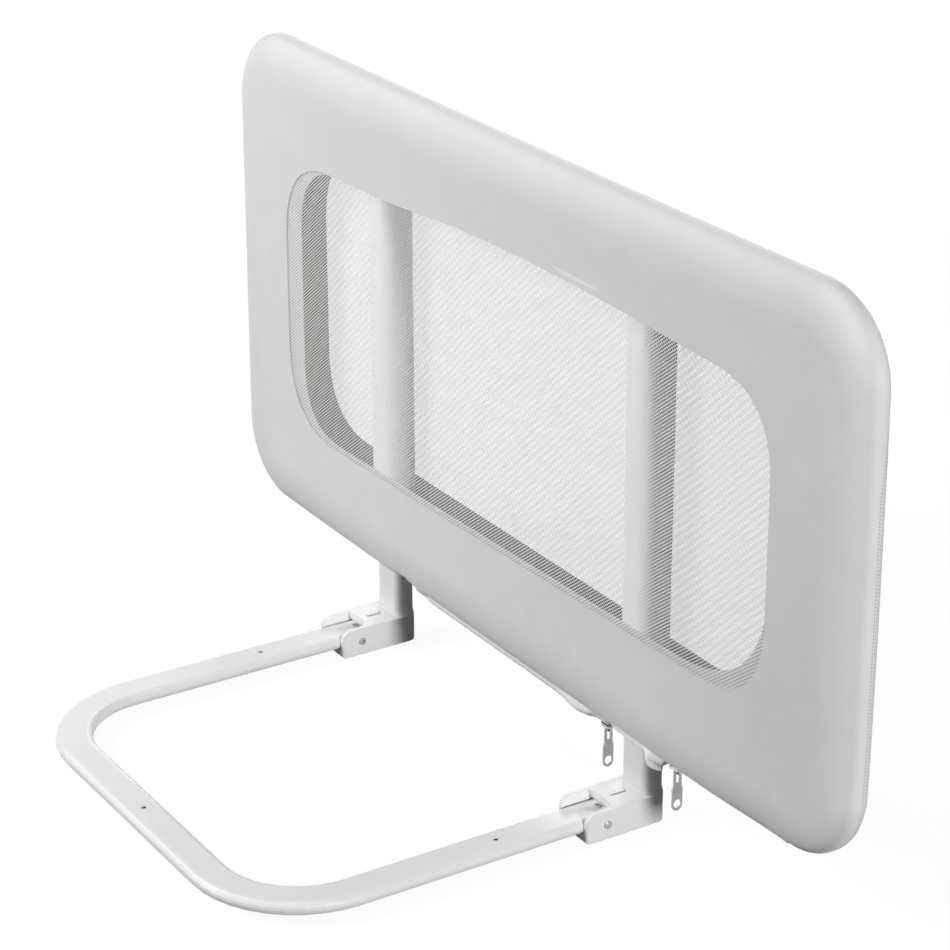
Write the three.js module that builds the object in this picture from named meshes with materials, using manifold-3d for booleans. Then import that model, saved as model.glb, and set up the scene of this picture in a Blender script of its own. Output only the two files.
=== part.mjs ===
// Folding bed guard rail: padded panel on two hinge brackets over a U-shaped base tube.
// Millimetres, +Z up. X runs along the panel, the base reaches toward -Y.
import * as THREE from 'three';
import { mergeVertices } from 'three/addons/utils/BufferGeometryUtils.js';
import Module from 'manifold-3d';

const wasm = await Module();
wasm.setup();

// Panel: the padded cover as seen from the front
const panelLength = 1000;
const panelHeight = 497.6;
const panelUnderside = 74.7;
const panelShiftX = 9.1;
const edgeRadius = 19.2;
const outlineCornerRadius = 76.5;

// Cloth layers of the cover
const fabricThickness = 1.0;
const meshThickness = 0.5;
const layerGap = 0.1;
const seamY = 8;
const seamGap = 0.2;

// Flat-oval steel tube used for the base, the posts and the frame
const tubeWidth = 35;
const tubeDepth = 13;
const tubeWall = 1.2;
const frameBendRadius = 50.3;
const frameInset = 26.2;
const weldGap = 0.1;

// Foam sleeves round the frame
const padFit = 0.3;
const padJointGap = 0.4;
const padCoverGap = 0.5;

// Base tube, a U lying flat
const legSpacing = 427.6;
const baseReach = 388;
const baseBendRadius = 90;
const baseEndY = -41;
const baseHoleDiameter = 5;
const baseHoleY = -155;

// Hinge axis, along X through both brackets
const pivotY = -52.5;
const pivotZ = 14;
const pinDiameter = 5;
const pinFit = 0.1;
const rivetHeadDiameter = 8.5;
const rivetHeadHeight = 2;
const rivetRingDiameter = 8.1;
const rivetRingHeight = 1.4;
const rivetHollowDiameter = 4;
const rivetHollowDepth = 3;
const rivetSeat = 0.05;

// Plug and screw in each end of the base tube
const plugLength = 25;
const plugFit = 0.1;
const screwY = -47.5;
const screwHeadDiameter = 7;
const screwHeadHeight = 1.6;
const screwHeadRim = 0.7;
const screwShankDiameter = 3;
const screwLength = 6;
const screwFit = 0.1;
const screwCrossLength = 4.2;
const screwCrossWidth = 0.9;
const screwCrossDepth = 0.9;
const screwClearanceDiameter = 4;

// Hinge bracket
const legWidth = 43;
const legDepth = 21;
const legCornerRadius = 9.5;
const legRimGap = 0.3;
const socketFit = 0.3;
const socketFloorZ = 32;
const shoeSideStep = 1.3;
const shoeRearY = 11.5;
const shoeTopZ = 28;
const shoeRearRadius = 10;
const shoeRearSoleRadius = 5;
const shoulderRise = 3;
const shoulderStep = 0.7;
const earEndY = -75;
const earTopRadius = 11;
const earSoleRadius = 3;
const earPlanRadius = 2.5;
const tubeSideFit = 0.4;
const roofFit = 0.3;
const cavityEndY = -37;
const stopEndY = -59.5;
const floorOpeningEndY = -38.5;
const roofEdgeY = -45.2;
const roofArcRise = 2.7;
const slotLength = 18;
const slotWidth = 6;
const slotDepth = 2.5;
const slotCentreY = -26;
const slotHoleDiameter = 2.5;
const slotHoleDepth = 4;

// Front window: widths of the fabric left round it
const borderLeft = 102.9;
const borderRight = 106.6;
const borderTopLeft = 118.3;
const borderTopMiddle = 91.3;
const borderTopRight = 105.3;
const borderBottomLeft = 97.3;
const borderBottomRight = 112.3;
const windowCornerTopLeft = 88;
const windowCornerTopRight = 76;
const windowCornerBottomLeft = 92;
const windowCornerBottomRight = 70;
const windowHem = 8;

// Folded fabric seen through the front mesh, by its width inside the window
const facingBandLeft = 28;
const facingBandBottomLeft = 6;
const facingBandBottomRight = 3;
const facingCornerLeft = 70;
const facingCornerRight = 115;
const facingTuck = 3;

// Back window: widths of the fabric left round it
const backBorderLeft = 118.9;
const backBorderRight = 146.1;
const backBorderTop = 106.3;
const backBorderBottom = 94.3;
const backWindowCorner = 78;

// Zip along the underside
const zipStartFromLeg = 42.8;
const zipEndFromPanel = 81.1;
const zipSlotHalfWidth = 8;
const zipTopHalfWidth = 9.4;
const zipChainWidth = 5.6;
const zipChainHeight = 2.2;
const zipMiddleZ = 65.8;
const zipRightZ = 71.3;
const zipTapeThickness = 1.1;
const zipSeatWidth = 2;
const zipTapeEndMargin = 5;
const zipSliderLeftFromLeg = 53.8;
const zipSliderRightFromLeg = 52.2;
const zipPartedReach = 22;
const zipLegGap = 0.6;

// Zip slider and pull
const sliderLength = 12;
const sliderFit = 0.3;
const sliderWall = 1.2;
const sliderFloor = 1.4;
const sliderFlare = 1.4;
const crownLength = 9;
const crownDrop = 5;
const crownBar = 1.2;
const crownWidth = 2.4;
const pullAxisGap = 0.1;
const pullBarDiameter = 1.4;
const pullTopWidth = 8.4;
const pullWidth = 11;
const pullThickness = 1.5;
const pullDrop = 38.6;
const pullEyeWidth = 3.6;
const pullEyeLength = 10;
const pullNeckLength = 13;
const pullHoleDiameter = 8;
const pullHoleMargin = 2.9;

// Fabric tab beside the right leg
const tabWidth = 19;
const tabBottomZ = 55.5;
const tabTopZ = 75.4;
const tabCornerRadius = 8;
const tabThickness = 1.2;
const tabGap = 0.2;

// Facets: counts only
const arcSteps = 8;
const cornerSteps = 10;
const smallSteps = 6;
const innerSteps = 6;
const roundSteps = 20;

// Lengths that follow from the sizes above
const panelLeft = panelShiftX - panelLength / 2;
const panelRight = panelShiftX + panelLength / 2;
const panelTop = panelUnderside + panelHeight;
const legX = legSpacing / 2;
const windowLeft = panelLeft + borderLeft;
const windowRight = panelRight - borderRight;
const windowTopLeft = panelTop - borderTopLeft;
const windowTopMiddle = panelTop - borderTopMiddle;
const windowTopRight = panelTop - borderTopRight;
const windowBottomLeft = panelUnderside + borderBottomLeft;
const windowBottomRight = panelUnderside + borderBottomRight;
const zipStartX = -legX + zipStartFromLeg;
const zipEndX = panelRight - zipEndFromPanel;
const zipSliderLeftX = legX - zipSliderLeftFromLeg;
const zipSliderRightX = legX + zipSliderRightFromLeg;
const baseZ = pivotZ;
const tubeTopZ = baseZ + tubeDepth / 2;
const frameLeft = panelLeft + frameInset;
const frameRight = panelRight - frameInset;
const frameBottom = panelUnderside + frameInset;
const frameTop = panelTop - frameInset;
const legRimZ = panelUnderside - legRimGap;
const shoeHalfWidth = legWidth / 2 + shoeSideStep;
const cavityHalfWidth = tubeWidth / 2 + tubeSideFit;
const stopZ = baseZ - tubeDepth / 2;
const roofZ = tubeTopZ + roofFit;
const frontMeshY = -edgeRadius + fabricThickness + layerGap;
const facingY = frontMeshY + meshThickness + layerGap;
const padDepth = -2 * (facingY + meshThickness + layerGap);
const backFabricRadius = edgeRadius - meshThickness - layerGap;
const padWidth = 2 * (frameInset - edgeRadius + backFabricRadius - fabricThickness - padCoverGap);
const originY = (edgeRadius - baseReach - tubeWidth / 2) / 2;

// Colours and finishes from the photo
const white = { color: 0xe4e5e6, roughness: 0.38, metalness: 0.1 };
const moulded = { color: 0xd8d9d9, roughness: 0.5, metalness: 0 };
const steel = { color: 0x9a9b9c, roughness: 0.32, metalness: 0.9 };
const foam = { color: 0xe2e2e0, roughness: 0.9, metalness: 0 };
const cloth = { color: 0xcbcccd, roughness: 0.88, metalness: 0 };
const net = { color: 0xe9eaea, roughness: 0.8, metalness: 0 };
const nylon = { color: 0xdadbdb, roughness: 0.7, metalness: 0 };
const hidden = { color: 0x4b4c4e, roughness: 0.6, metalness: 0 };

// Turns triangles into a closed solid
function solidOf(geometry) {
  const bare = geometry.clone();
  bare.deleteAttribute('normal');
  bare.deleteAttribute('uv');
  const welded = mergeVertices(bare);
  const mesh = new wasm.Mesh({
    numProp: 3,
    vertProperties: new Float32Array(welded.attributes.position.array),
    triVerts: new Uint32Array(welded.index.array),
  });
  return new wasm.Manifold(mesh);
}

// Turns a solid back into triangles
function geometryOf(solid) {
  const mesh = solid.getMesh();
  const geometry = new THREE.BufferGeometry();
  geometry.setAttribute('position', new THREE.BufferAttribute(new Float32Array(mesh.vertProperties), 3));
  geometry.setIndex(new THREE.BufferAttribute(new Uint32Array(mesh.triVerts), 1));
  return geometry;
}

// One named piece
function piece(name, shape, look) {
  const geometry = shape.isBufferGeometry ? shape : geometryOf(shape);
  geometry.computeVertexNormals();
  const mesh = new THREE.Mesh(geometry, new THREE.MeshStandardMaterial(look));
  mesh.name = name;
  return mesh;
}

// Closed geometry from points and triangle indices, turned to face outward
function closedGeometry(points, triangles) {
  const position = new Float32Array(points.flatMap((p) => [p.x, p.y, p.z]));
  const volume = triangles.reduce((sum, [a, b, c]) => {
    const cross = points[b].clone().cross(points[c]);
    return sum + points[a].dot(cross);
  }, 0);
  const index = triangles.flatMap(([a, b, c]) => (volume > 0 ? [a, b, c] : [a, c, b]));
  const geometry = new THREE.BufferGeometry();
  geometry.setAttribute('position', new THREE.BufferAttribute(position, 3));
  geometry.setIndex(index);
  return geometry;
}

// Triangles between two neighbouring rings of the same count
function bridge(triangles, first, second, count) {
  for (let i = 0; i < count; i += 1) {
    const next = (i + 1) % count;
    triangles.push([first + i, first + next, second + next]);
    triangles.push([first + i, second + next, second + i]);
  }
}

// Skin over a run of rings, closed in a loop or capped at both ends
function loft(rings, looped) {
  const count = rings[0].length;
  const points = rings.flat();
  const triangles = [];
  const last = looped ? rings.length : rings.length - 1;
  for (let r = 0; r < last; r += 1) {
    bridge(triangles, r * count, ((r + 1) % rings.length) * count, count);
  }
  if (!looped) {
    const end = (rings.length - 1) * count;
    for (let i = 1; i < count - 1; i += 1) {
      triangles.push([0, i + 1, i]);
      triangles.push([end, end + i, end + i + 1]);
    }
  }
  return closedGeometry(points, triangles);
}

// Stations along a flat path of corners [a, b, radius], each with its outward normal
function pathStations(corners, looped, steps = cornerSteps) {
  const stations = [];
  const total = corners.length;
  corners.forEach(([a, b, radius], i) => {
    const here = new THREE.Vector2(a, b);
    const before = corners[(i + total - 1) % total];
    const after = corners[(i + 1) % total];
    const incoming = new THREE.Vector2(a - before[0], b - before[1]).normalize();
    const outgoing = new THREE.Vector2(after[0] - a, after[1] - b).normalize();
    if (!looped && i === 0) incoming.copy(outgoing);
    if (!looped && i === total - 1) outgoing.copy(incoming);
    if (!radius) {
      stations.push({ at: here, out: new THREE.Vector2(incoming.y, -incoming.x) });
      return;
    }
    const turn = Math.atan2(incoming.x * outgoing.y - incoming.y * outgoing.x, incoming.dot(outgoing));
    const reach = radius * Math.tan(Math.abs(turn) / 2);
    const start = here.clone().addScaledVector(incoming, -reach);
    const side = new THREE.Vector2(incoming.y, -incoming.x).multiplyScalar(Math.sign(turn));
    const centre = start.clone().addScaledVector(side, -radius);
    for (let k = 0; k <= steps; k += 1) {
      const spoke = side.clone().rotateAround(new THREE.Vector2(), (turn * k) / steps);
      const out = spoke.clone().multiplyScalar(Math.sign(turn));
      stations.push({ at: centre.clone().addScaledVector(spoke, radius), out });
    }
  });
  return stations;
}

// Flat oval as [across, through] pairs, width along the first
function flatOval(width, depth, steps = arcSteps) {
  const radius = depth / 2;
  const flat = width / 2 - radius;
  const outline = [];
  for (let k = 0; k <= steps; k += 1) {
    const angle = -Math.PI / 2 + (Math.PI * k) / steps;
    outline.push([flat + radius * Math.cos(angle), radius * Math.sin(angle)]);
  }
  return outline.concat(outline.map(([u, v]) => [-u, -v]));
}

// Section carried along a path in the upright plane of the panel
function uprightSweep(stations, section, looped) {
  const rings = stations.map(({ at, out }) => (
    section.map(([u, v]) => new THREE.Vector3(at.x + out.x * u, v, at.y + out.y * u))
  ));
  return loft(rings, looped);
}

// Section carried along a path in the flat plane of the base
function flatSweep(stations, section, height) {
  const rings = stations.map(({ at, out }) => (
    section.map(([u, v]) => new THREE.Vector3(at.x + out.x * u, at.y + out.y * u, height + v))
  ));
  return loft(rings, false);
}

// Closed outline of corners [x, z, reach] with softly rounded corners, as flat points
function softOutline(corners, grow = 0) {
  const shape = new THREE.Shape();
  corners.forEach(([x, z, reach], i) => {
    const here = new THREE.Vector2(x, z);
    const before = corners[(i + corners.length - 1) % corners.length];
    const after = corners[(i + 1) % corners.length];
    const from = new THREE.Vector2(before[0], before[1]).sub(here).setLength(reach).add(here);
    const to = new THREE.Vector2(after[0], after[1]).sub(here).setLength(reach).add(here);
    if (i === 0) shape.moveTo(from.x, from.y);
    else shape.lineTo(from.x, from.y);
    shape.quadraticCurveTo(here.x, here.y, to.x, to.y);
  });
  const points = shape.getPoints(cornerSteps);
  if (points[0].distanceTo(points[points.length - 1]) < layerGap) points.pop();
  if (!grow) return points;
  return points.map((point, i) => {
    const before = points[(i + points.length - 1) % points.length];
    const after = points[(i + 1) % points.length];
    const along = after.clone().sub(before).normalize();
    return point.clone().add(new THREE.Vector2(along.y, -along.x).multiplyScalar(grow));
  });
}

// Outline with a hole or none, given thickness along one axis
function slab(outline, holes, depth) {
  const shape = new THREE.Shape(outline);
  shape.holes = holes.map((hole) => new THREE.Path(hole));
  return new THREE.ExtrudeGeometry(shape, { depth, bevelEnabled: false, curveSegments: cornerSteps });
}

// Slab standing in the plane of the panel, from one depth to a greater one
function uprightSlab(outline, holes, nearY, thickness) {
  const geometry = slab(outline, holes, thickness);
  geometry.rotateX(Math.PI / 2);
  geometry.translate(0, nearY + thickness, 0);
  return geometry;
}

// Slab lying flat, from one height up
function flatSlab(outline, holes, lowZ, thickness) {
  const geometry = slab(outline, holes, thickness);
  geometry.translate(0, 0, lowZ);
  return geometry;
}

// Slab whose outline is given as [y, z], centred on one x
function sideSlab(outline, holes, centreX, width) {
  const geometry = slab(outline, holes, width);
  geometry.applyMatrix4(new THREE.Matrix4().makeBasis(
    new THREE.Vector3(0, 1, 0),
    new THREE.Vector3(0, 0, 1),
    new THREE.Vector3(1, 0, 0),
  ));
  geometry.translate(centreX - width / 2, 0, 0);
  return geometry;
}

function box(lowX, highX, lowY, highY, lowZ, highZ) {
  const geometry = new THREE.BoxGeometry(highX - lowX, highY - lowY, highZ - lowZ);
  geometry.translate((lowX + highX) / 2, (lowY + highY) / 2, (lowZ + highZ) / 2);
  return solidOf(geometry);
}

function rodAlongX(diameter, lowX, highX, y, z) {
  const geometry = new THREE.CylinderGeometry(diameter / 2, diameter / 2, highX - lowX, roundSteps);
  geometry.rotateZ(Math.PI / 2);
  geometry.translate((lowX + highX) / 2, y, z);
  return solidOf(geometry);
}

function rodAlongY(diameter, x, lowY, highY, z) {
  const geometry = new THREE.CylinderGeometry(diameter / 2, diameter / 2, highY - lowY, roundSteps);
  geometry.translate(x, (lowY + highY) / 2, z);
  return solidOf(geometry);
}

function rodAlongZ(diameter, x, y, lowZ, highZ) {
  const geometry = new THREE.CylinderGeometry(diameter / 2, diameter / 2, highZ - lowZ, roundSteps);
  geometry.rotateX(Math.PI / 2);
  geometry.translate(x, y, (lowZ + highZ) / 2);
  return solidOf(geometry);
}

// Rounded rectangle as flat points, each corner [u, v, radius]
function roundedOutline(corners) {
  return pathStations(corners, true, smallSteps).map(({ at }) => at);
}

function rectangleCorners(halfU, halfV, radius) {
  return [[-halfU, -halfV, radius], [halfU, -halfV, radius], [halfU, halfV, radius], [-halfU, halfV, radius]];
}

// U-shaped base, its arms ending inside the brackets
function baseTube() {
  const corners = [
    [-legX, baseEndY, 0],
    [-legX, -baseReach, baseBendRadius],
    [legX, -baseReach, baseBendRadius],
    [legX, baseEndY, 0],
  ];
  const bore = corners.map(([x, y, r]) => [x, y === baseEndY ? y + plugLength : y, r]);
  const outer = solidOf(flatSweep(pathStations(corners, false), flatOval(tubeWidth, tubeDepth), baseZ));
  const inner = flatOval(tubeWidth - 2 * tubeWall, tubeDepth - 2 * tubeWall);
  let tube = outer.subtract(solidOf(flatSweep(pathStations(bore, false), inner, baseZ)));
  for (const x of [-legX, legX]) {
    const hole = rodAlongZ(baseHoleDiameter, x, baseHoleY, baseZ - tubeDepth, baseZ + tubeDepth);
    const pin = rodAlongX(pinDiameter + 2 * pinFit, x - tubeWidth, x + tubeWidth, pivotY, pivotZ);
    const screw = rodAlongZ(screwClearanceDiameter, x, screwY, baseZ, baseZ + tubeDepth);
    tube = tube.subtract(hole).subtract(pin).subtract(screw);
  }
  return tube.subtract(rodAlongZ(baseHoleDiameter, 0, -baseReach, baseZ - tubeDepth, baseZ + tubeDepth));
}

// Plug filling the end of the base tube
function tubePlug(x) {
  const width = tubeWidth - 2 * tubeWall - 2 * plugFit;
  const depth = tubeDepth - 2 * tubeWall - 2 * plugFit;
  const stations = pathStations([[x, baseEndY - plugLength, 0], [x, baseEndY, 0]], false);
  const body = solidOf(flatSweep(stations, flatOval(width, depth), baseZ));
  const pin = rodAlongX(pinDiameter + 2 * pinFit, x - tubeWidth, x + tubeWidth, pivotY, pivotZ);
  const shank = screwShankDiameter + 2 * screwFit;
  const screw = rodAlongZ(shank, x, screwY, tubeTopZ - screwLength - screwFit, baseZ + tubeDepth);
  return body.subtract(pin).subtract(screw);
}

// Pan-head screw through the top of the tube into the plug
function plugScrew(x) {
  const shank = screwShankDiameter / 2;
  const head = screwHeadDiameter / 2;
  const outline = new THREE.Path();
  outline.moveTo(0, -screwLength);
  outline.lineTo(shank, -screwLength);
  outline.lineTo(shank, 0);
  outline.lineTo(head, 0);
  outline.lineTo(head, screwHeadRim);
  outline.quadraticCurveTo(head, screwHeadHeight, 0, screwHeadHeight);
  const geometry = new THREE.LatheGeometry(outline.getPoints(arcSteps / 2), roundSteps);
  geometry.rotateX(Math.PI / 2);
  geometry.translate(x, screwY, tubeTopZ);
  const low = tubeTopZ + screwHeadHeight - screwCrossDepth;
  const high = tubeTopZ + 2 * screwHeadHeight;
  const long = screwCrossLength / 2;
  const thin = screwCrossWidth / 2;
  return solidOf(geometry)
    .subtract(box(x - long, x + long, screwY - thin, screwY + thin, low, high))
    .subtract(box(x - thin, x + thin, screwY - long, screwY + long, low, high));
}

// Rivet on the hinge axis, side is -1 for the left bracket and 1 for the right
function pivotRivet(x, side) {
  const shank = pinDiameter / 2;
  const head = rivetHeadDiameter / 2;
  const ring = rivetRingDiameter / 2;
  const hollow = rivetHollowDiameter / 2;
  const outer = shoeHalfWidth + rivetSeat;
  const inner = -outer - rivetRingHeight;
  const outline = new THREE.Path();
  outline.moveTo(0, inner + rivetHollowDepth);
  outline.lineTo(hollow, inner + rivetHollowDepth);
  outline.lineTo(hollow, inner);
  outline.lineTo(ring - rivetRingHeight / 2, inner);
  outline.lineTo(ring, inner + rivetRingHeight / 2);
  outline.lineTo(ring, -outer);
  outline.lineTo(shank, -outer);
  outline.lineTo(shank, outer);
  outline.lineTo(head, outer);
  outline.quadraticCurveTo(head, outer + rivetHeadHeight, 0, outer + rivetHeadHeight);
  const geometry = new THREE.LatheGeometry(outline.getPoints(arcSteps / 2), roundSteps);
  geometry.rotateZ(-side * Math.PI / 2);
  geometry.translate(x, pivotY, pivotZ);
  return solidOf(geometry);
}

// Side view of the shoe: two ears in front, rounded heel behind
function shoeProfile() {
  return roundedOutline([
    [earEndY, 0, earSoleRadius],
    [shoeRearY, 0, shoeRearSoleRadius],
    [shoeRearY, shoeTopZ, 0],
    [earEndY, shoeTopZ, earTopRadius],
  ]);
}

// Plan view of the shoe
function shoePlan(x) {
  return roundedOutline([
    [x - shoeHalfWidth, earEndY, earPlanRadius],
    [x + shoeHalfWidth, earEndY, earPlanRadius],
    [x + shoeHalfWidth, shoeRearY, shoeRearRadius],
    [x - shoeHalfWidth, shoeRearY, shoeRearRadius],
  ]);
}

// Plan view of the opening above the tube, with the curved edge of the roof
function roofOpening(x) {
  const outline = new THREE.Shape();
  const front = earEndY - tubeWidth;
  outline.moveTo(x - cavityHalfWidth, front);
  outline.lineTo(x + cavityHalfWidth, front);
  outline.lineTo(x + cavityHalfWidth, roofEdgeY);
  outline.quadraticCurveTo(x, roofEdgeY + 2 * roofArcRise, x - cavityHalfWidth, roofEdgeY);
  return outline.getPoints(arcSteps);
}

// Leg of the bracket with a stepped foot, ending just under the panel
function bracketLeg(x) {
  const place = (outline) => outline.map((p) => new THREE.Vector2(p.x + x, p.y));
  const plain = roundedOutline(rectangleCorners(legWidth / 2, legDepth / 2, legCornerRadius));
  const stepU = legWidth / 2 + shoulderStep;
  const stepV = legDepth / 2 + shoulderStep;
  const stepped = roundedOutline(rectangleCorners(stepU, stepV, legCornerRadius + shoulderStep));
  const leg = solidOf(flatSlab(place(plain), [], baseZ, legRimZ - baseZ));
  const shoulder = solidOf(flatSlab(place(stepped), [], baseZ, shoeTopZ + shoulderRise - baseZ));
  return leg.add(shoulder);
}

// Hinge bracket: clevis ears for the tube end, floor stop, arm and leg with a socket for the post
function hingeBracket(x) {
  const side = solidOf(sideSlab(shoeProfile(), [], x, 2 * shoeHalfWidth));
  const plan = solidOf(flatSlab(shoePlan(x), [], 0, legRimZ));
  const socketWidth = tubeWidth + 2 * socketFit;
  const socketDepth = tubeDepth + 2 * socketFit;
  const socketOutline = flatOval(socketWidth, socketDepth).map(([u, v]) => new THREE.Vector2(x + u, v));
  const socket = solidOf(flatSlab(socketOutline, [], socketFloorZ, legRimZ));
  const tubeRoom = box(
    x - cavityHalfWidth, x + cavityHalfWidth, earEndY - tubeWidth, cavityEndY, stopZ, roofZ,
  );
  const topOpening = solidOf(flatSlab(roofOpening(x), [], stopZ, legRimZ));
  const floorOpening = box(
    x - cavityHalfWidth, x + cavityHalfWidth, stopEndY, floorOpeningEndY, -stopZ, 2 * stopZ,
  );
  const slotShape = flatOval(slotLength, slotWidth, arcSteps);
  const slotOutline = slotShape.map(([u, v]) => new THREE.Vector2(x - v, slotCentreY + u));
  const slot = solidOf(flatSlab(slotOutline, [], shoeTopZ - slotDepth, legRimZ));
  const slotHoleY = slotCentreY - slotLength / 2 + slotWidth / 2;
  const slotHole = rodAlongZ(slotHoleDiameter, x, slotHoleY, shoeTopZ - slotDepth - slotHoleDepth, legRimZ);
  const pin = rodAlongX(pinDiameter + 2 * pinFit, x - legWidth, x + legWidth, pivotY, pivotZ);
  return side.intersect(plan)
    .add(bracketLeg(x))
    .subtract(socket)
    .subtract(tubeRoom)
    .subtract(topOpening)
    .subtract(floorOpening)
    .subtract(slot)
    .subtract(slotHole)
    .subtract(pin);
}

// Straight hollow length of tube or sleeve, upright or level in the panel
function straightRun(from, to, outerSection, innerSection, overrun) {
  const run = new THREE.Vector2(...to).sub(new THREE.Vector2(...from)).setLength(overrun);
  const outer = pathStations([[...from, 0], [...to, 0]], false);
  const inner = pathStations([
    [from[0] - run.x, from[1] - run.y, 0],
    [to[0] + run.x, to[1] + run.y, 0],
  ], false);
  const body = solidOf(uprightSweep(outer, outerSection, false));
  return body.subtract(solidOf(uprightSweep(inner, innerSection, false)));
}

const tubeSection = flatOval(tubeWidth, tubeDepth, innerSteps);
const tubeBore = flatOval(tubeWidth - 2 * tubeWall, tubeDepth - 2 * tubeWall, innerSteps);
const padSection = flatOval(padWidth, padDepth, innerSteps);
const padBore = flatOval(tubeWidth + 2 * padFit, tubeDepth + 2 * padFit, innerSteps);

// Upright post from the socket in the bracket to the top of the frame
function post(x) {
  const top = frameTop - tubeWidth / 2 - weldGap;
  return straightRun([x, socketFloorZ], [x, top], tubeSection, tubeBore, tubeWidth);
}

// Outer frame tube, bent at the four corners, ending at the outer sides of the posts
function frameHoop() {
  const end = legX + tubeWidth / 2 + weldGap;
  const corners = (extra) => [
    [-end + extra, frameBottom, 0],
    [frameLeft, frameBottom, frameBendRadius],
    [frameLeft, frameTop, frameBendRadius],
    [frameRight, frameTop, frameBendRadius],
    [frameRight, frameBottom, frameBendRadius],
    [end - extra, frameBottom, 0],
  ];
  const outside = pathStations(corners(0), false, innerSteps);
  const bore = pathStations(corners(tubeWidth), false, innerSteps);
  return solidOf(uprightSweep(outside, tubeSection, false)).subtract(solidOf(uprightSweep(bore, tubeBore, false)));
}

// Lower rail between the posts
function lowerRail() {
  const end = legX - tubeWidth / 2 - weldGap;
  return straightRun([-end, frameBottom], [end, frameBottom], tubeSection, tubeBore, tubeWidth);
}

// Foam sleeve on a post, between the lower and the upper sleeves
function postPad(x) {
  const low = frameBottom + padWidth / 2 + padJointGap;
  const high = frameTop - padWidth / 2 - padJointGap;
  return straightRun([x, low], [x, high], padSection, padBore, padWidth);
}

// Foam sleeve round one end of the frame, side is -1 for left and 1 for right
function endPad(side) {
  const end = side < 0 ? frameLeft : frameRight;
  const inner = side * (legX + tubeWidth / 2 + padJointGap);
  const upper = end - side * (frameBendRadius + padJointGap);
  const corners = (extra) => [
    [inner - side * extra, frameBottom, 0],
    [end, frameBottom, frameBendRadius],
    [end, frameTop, frameBendRadius],
    [upper - side * extra, frameTop, 0],
  ];
  const outside = pathStations(corners(0), false, innerSteps);
  const bore = pathStations(corners(padWidth), false, innerSteps);
  return solidOf(uprightSweep(outside, padSection, false)).subtract(solidOf(uprightSweep(bore, padBore, false)));
}

// Foam sleeve along the top of the frame, notched over the tops of the posts
function topPad() {
  const left = frameLeft + frameBendRadius + 2 * padJointGap;
  const right = frameRight - frameBendRadius - 2 * padJointGap;
  let pad = straightRun([left, frameTop], [right, frameTop], padSection, padBore, padWidth);
  for (const x of [-legX, legX]) {
    const low = [x, frameTop - padWidth];
    const high = [x, frameTop];
    const stations = pathStations([[...low, 0], [...high, 0]], false);
    pad = pad.subtract(solidOf(uprightSweep(stations, padBore, false)));
  }
  return pad;
}

// Foam sleeve on the lower rail
function lowerPad() {
  const end = legX - tubeWidth / 2 - padJointGap;
  return straightRun([-end, frameBottom], [end, frameBottom], padSection, padBore, padWidth);
}

// Stations of the rim, where the flat cloth meets the rounded edge
function rimStations() {
  const inset = edgeRadius;
  const radius = outlineCornerRadius - inset;
  return pathStations([
    [panelLeft + inset, panelUnderside + inset, radius],
    [panelRight - inset, panelUnderside + inset, radius],
    [panelRight - inset, panelTop - inset, radius],
    [panelLeft + inset, panelTop - inset, radius],
  ], true);
}

// Arc of a cloth layer from the flat face round the edge to the seam, as [out, y] pairs
function edgeArc(radius, face, seam) {
  const end = Math.asin(seam / radius);
  const start = (face * Math.PI) / 2;
  const arc = [];
  for (let k = 0; k <= arcSteps; k += 1) {
    const angle = start + ((end - start) * k) / arcSteps;
    arc.push([radius * Math.cos(angle), radius * Math.sin(angle)]);
  }
  return arc;
}

// Cloth layer: flat face with or without a window, carried round the rounded edge to the seam
function coverLayer(outerRadius, thickness, face, seam, windowOutline) {
  const rim = rimStations();
  const innerRadius = outerRadius - thickness;
  const profile = edgeArc(outerRadius, face, seam).concat(edgeArc(innerRadius, face, seam).reverse());
  const count = rim.length;
  const points = profile.flatMap(([u, v]) => (
    rim.map(({ at, out }) => new THREE.Vector3(at.x + out.x * u, v, at.y + out.y * u))
  ));
  const triangles = [];
  for (let r = 0; r < profile.length - 1; r += 1) bridge(triangles, r * count, (r + 1) * count, count);
  const contour = rim.map(({ at }) => at);
  const holes = windowOutline ? [windowOutline] : [];
  const outerHole = points.length;
  const innerHole = outerHole + (windowOutline ? windowOutline.length : 0);
  for (const radius of [outerRadius, innerRadius]) {
    for (const hole of holes) points.push(...hole.map((p) => new THREE.Vector3(p.x, face * radius, p.y)));
  }
  const lastRing = (profile.length - 1) * count;
  for (const [a, b, c] of THREE.ShapeUtils.triangulateShape(contour, holes)) {
    const outer = (i) => (i < count ? i : outerHole + i - count);
    const inner = (i) => (i < count ? lastRing + i : innerHole + i - count);
    triangles.push([outer(b), outer(a), outer(c)]);
    triangles.push([inner(a), inner(b), inner(c)]);
  }
  if (windowOutline) bridge(triangles, innerHole, outerHole, windowOutline.length);
  return closedGeometry(points, triangles);
}

// Front window outline
function frontWindow(grow = 0) {
  return softOutline([
    [windowLeft, windowBottomLeft, windowCornerBottomLeft],
    [windowRight, windowBottomRight, windowCornerBottomRight],
    [windowRight, windowTopRight, windowCornerTopRight],
    [panelShiftX, windowTopMiddle, windowRight / 2],
    [windowLeft, windowTopLeft, windowCornerTopLeft],
  ], grow);
}

// Front fabric, open along the zip and where the left leg enters
function coverFront() {
  const body = solidOf(coverLayer(edgeRadius, fabricThickness, -1, seamY - seamGap, frontWindow()));
  const low = panelUnderside - edgeRadius;
  const high = panelUnderside + edgeRadius;
  const reach = tubeWidth / 2 + 2 * socketFit;
  const depth = tubeDepth / 2 + 2 * socketFit;
  return body
    .subtract(box(zipStartX, zipEndX, -zipSlotHalfWidth, edgeRadius, low, high))
    .subtract(box(-legX - reach, -legX + reach, -depth, depth, low, high));
}

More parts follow.
